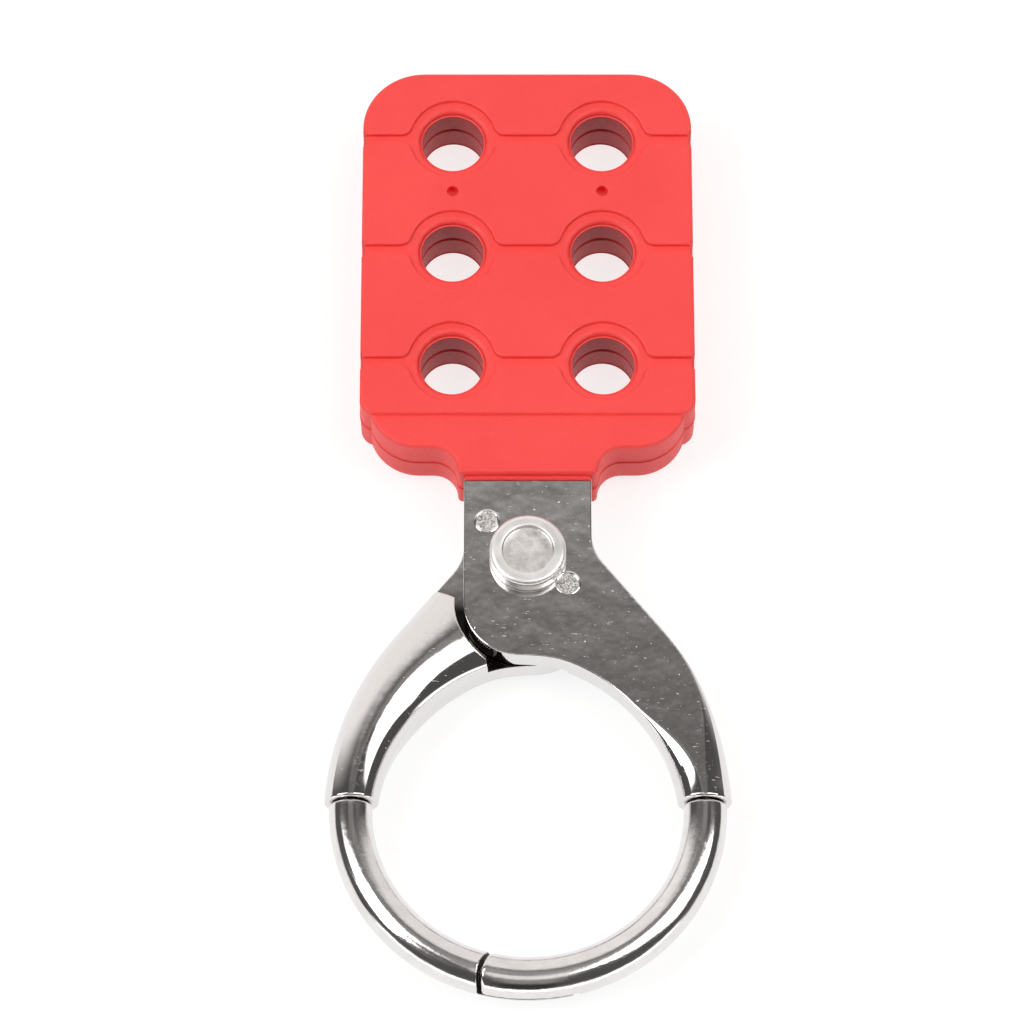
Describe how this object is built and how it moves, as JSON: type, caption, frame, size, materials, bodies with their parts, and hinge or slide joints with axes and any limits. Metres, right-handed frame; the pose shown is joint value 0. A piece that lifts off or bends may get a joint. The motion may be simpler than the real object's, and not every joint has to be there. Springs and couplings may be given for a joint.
{
  "type": "lockout hasp",
  "caption": "Scissor-action lockout hasp: round chrome jaws on one rivet, locked shut by padlocks through a red nylon grip.",
  "frame": {"origin": "middle of the closed hasp's bounding box, on the plane between its two halves", "axes": "+Y along the hasp from the hooks to the grips, +X to the right seen from the front, +Z out of the front face"},
  "size_m": [0.05, 0.1252, 0.011],
  "materials": {
    "chrome_casting": "bright chrome plate over a die casting, with fine pits and scratches on the flat faces",
    "hook_steel": "chrome-plated steel rod with faint lengthwise brush lines",
    "red_nylon": "matte moulded nylon with a very fine grain",
    "rivet_steel": "bright turned steel, satin, with concentric turning marks in the dished head"
  },
  "bodies": {
    "front_half": {"front_arm": "chrome_casting", "right_hook": "hook_steel", "front_grip": "red_nylon", "pivot_rivet": "rivet_steel"},
    "back_half": {"back_arm": "chrome_casting", "left_hook": "hook_steel", "back_grip": "red_nylon"}
  },
  "joints": [
    {"name": "jaw_pivot", "type": "hinge", "parent": "front_half", "child": "back_half", "pos_m": [0, -0.00547, 0], "axis": [0, 0, -1], "range_deg": [0, 55]}
  ]
}
